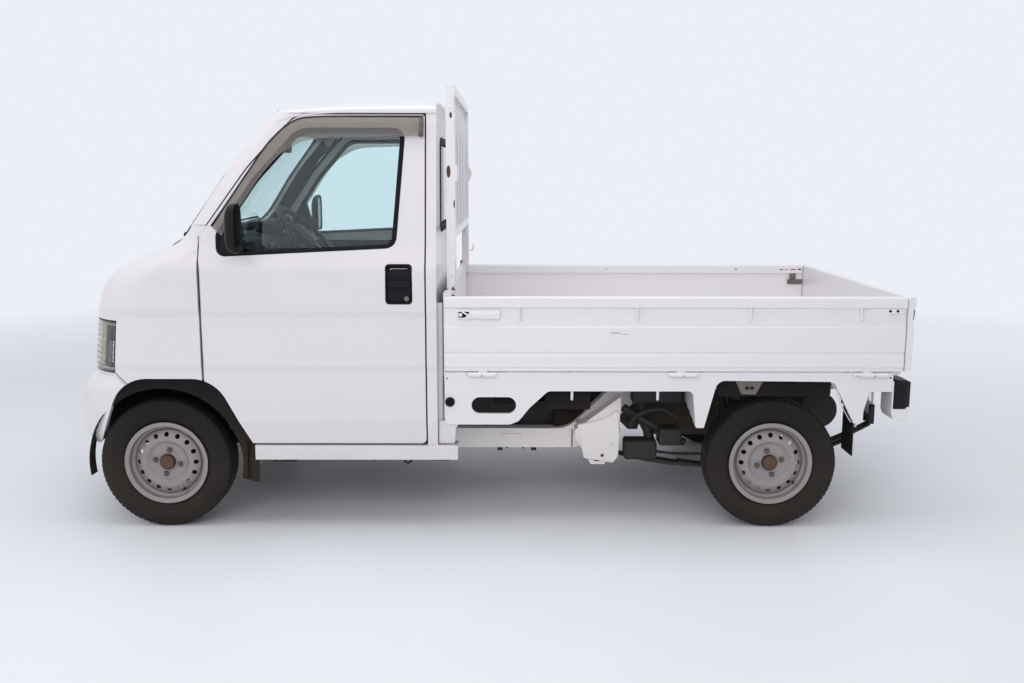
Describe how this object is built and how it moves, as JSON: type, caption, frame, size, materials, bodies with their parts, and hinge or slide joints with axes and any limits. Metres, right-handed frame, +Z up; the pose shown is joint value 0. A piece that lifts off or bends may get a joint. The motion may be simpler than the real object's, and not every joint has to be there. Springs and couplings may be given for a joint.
{
  "type": "light truck with drop-side bed",
  "caption": "Small semi-bonnet pickup truck: hinged doors and front lid, drop-side bed with three folding gates, guard frame, steered front wheels.",
  "frame": {"origin": "on the ground at mid length and mid width, under the tyres' contact plane", "axes": "-X towards the nose, +Y towards the truck's right side, +Z up"},
  "size_m": [3.3947, 1.776, 1.7441],
  "materials": {
    "body_paint": "glossy white enamel, dull with age",
    "bed_paint": "white enamel with scratches and rust spots",
    "frame_paint": "yellowed white undercoat",
    "floor_paint": "black underseal and mats",
    "bumper_plastic": "painted white plastic",
    "window_glass": "pale green tint",
    "lamp_lens": "slightly yellowed clear lens",
    "tail_lens": "dark red lens in a black case",
    "dash_plastic": "grained dark grey",
    "seat_cloth": "grey woven cloth",
    "black_plastic": "grained black",
    "black_rubber": "dull",
    "black_steel": "black paint with road dirt",
    "engine_metal": "cast, oily",
    "exhaust_steel": "heat-tinted, rusty",
    "tyre_rubber": "dull black",
    "wheel_steel": "silver paint with rust at the hub",
    "wheel_grip": "soft black grip"
  },
  "bodies": {
    "chassis": {"front_rails": "frame_paint", "rear_rails": "frame_paint", "cross_members": "frame_paint", "cab_floor": "floor_paint", "front_panel": "body_paint", "side_frames": "body_paint", "roof_panel": "body_paint", "back_panel": "body_paint", "windscreen_frame": "body_paint", "windscreen": "window_glass", "rear_window": "window_glass", "front_bumper": "bumper_plastic", "headlamps": "lamp_lens", "dashboard": "dash_plastic", "seats": "seat_cloth", "wipers": "black_plastic", "steering_column": "dash_plastic", "engine_block": "engine_metal", "fuel_tank": "black_steel", "muffler": "exhaust_steel", "bed_floor": "bed_paint", "bed_skirts": "bed_paint", "guard_frame": "bed_paint", "tail_lamps": "tail_lens", "mud_flaps": "black_rubber", "rear_axle": "black_steel", "leaf_springs": "black_steel", "front_suspension": "black_steel"},
    "front_lid": {"front_lid": "body_paint"},
    "door_left": {"door_left": "body_paint", "door_glass_left": "window_glass", "mirror_left": "black_plastic"},
    "door_right": {"door_right": "body_paint", "door_glass_right": "window_glass", "mirror_right": "black_plastic"},
    "gate_left": {"gate_left": "bed_paint"},
    "gate_right": {"gate_right": "bed_paint"},
    "tailgate": {"tailgate": "bed_paint"},
    "knuckle_left": {"knuckle_left": "black_steel"},
    "knuckle_right": {"knuckle_right": "black_steel"},
    "wheel_front_left": {"tyre_front_left": "tyre_rubber", "rim_front_left": "wheel_steel"},
    "wheel_front_right": {"tyre_front_right": "tyre_rubber", "rim_front_right": "wheel_steel"},
    "wheel_rear_left": {"tyre_rear_left": "tyre_rubber", "rim_rear_left": "wheel_steel"},
    "wheel_rear_right": {"tyre_rear_right": "tyre_rubber", "rim_rear_right": "wheel_steel"},
    "steering_wheel": {"steering_wheel": "wheel_grip"}
  },
  "joints": [
    {"name": "steer_left", "type": "hinge", "parent": "chassis", "child": "knuckle_left", "pos_m": [-1.2625, -0.535, 0.262], "axis": [0, 0, 1], "range_deg": [-35, 35]},
    {"name": "steer_right", "type": "hinge", "parent": "chassis", "child": "knuckle_right", "pos_m": [-1.2625, 0.535, 0.262], "axis": [0, 0, 1], "range_deg": [-35, 35]},
    {"name": "steering_wheel_turn", "type": "hinge", "parent": "chassis", "child": "steering_wheel", "pos_m": [-0.8795, 0.34, 1.126], "axis": [0.6691, 0, 0.7431], "range_deg": [-600, 600]},
    {"name": "roll_front_left", "type": "hinge", "parent": "knuckle_left", "child": "wheel_front_left", "pos_m": [-1.2625, -0.642, 0.262], "axis": [0, 1, 0], "continuous": true},
    {"name": "roll_front_right", "type": "hinge", "parent": "knuckle_right", "child": "wheel_front_right", "pos_m": [-1.2625, 0.642, 0.262], "axis": [0, 1, 0], "continuous": true},
    {"name": "roll_rear_left", "type": "hinge", "parent": "chassis", "child": "wheel_rear_left", "pos_m": [1.1575, -0.642, 0.262], "axis": [0, 1, 0], "continuous": true},
    {"name": "roll_rear_right", "type": "hinge", "parent": "chassis", "child": "wheel_rear_right", "pos_m": [1.1575, 0.642, 0.262], "axis": [0, 1, 0], "continuous": true},
    {"name": "door_left_swing", "type": "hinge", "parent": "chassis", "child": "door_left", "pos_m": [-1.0735, -0.7225, 0.8], "axis": [0, 0, -1], "range_deg": [0, 65]},
    {"name": "door_right_swing", "type": "hinge", "parent": "chassis", "child": "door_right", "pos_m": [-1.0735, 0.7225, 0.8], "axis": [0, 0, 1], "range_deg": [0, 65]},
    {"name": "front_lid_lift", "type": "hinge", "parent": "chassis", "child": "front_lid", "pos_m": [-1.3365, 0, 1.1065], "axis": [0, 1, 0], "range_deg": [0, 60]},
    {"name": "gate_left_drop", "type": "hinge", "parent": "chassis", "child": "gate_left", "pos_m": [0.7555, -0.731, 0.632], "axis": [1, 0, 0], "range_deg": [0, 170]},
    {"name": "gate_right_drop", "type": "hinge", "parent": "chassis", "child": "gate_right", "pos_m": [0.7555, 0.731, 0.632], "axis": [-1, 0, 0], "range_deg": [0, 170]},
    {"name": "tailgate_drop", "type": "hinge", "parent": "chassis", "child": "tailgate", "pos_m": [1.691, 0, 0.632], "axis": [0, 1, 0], "range_deg": [0, 170]}
  ],
  "couplings": [
    {"joint": "steer_right", "follows": "steer_left", "ratio": 1},
    {"joint": "steering_wheel_turn", "follows": "steer_left", "ratio": 17}
  ]
}
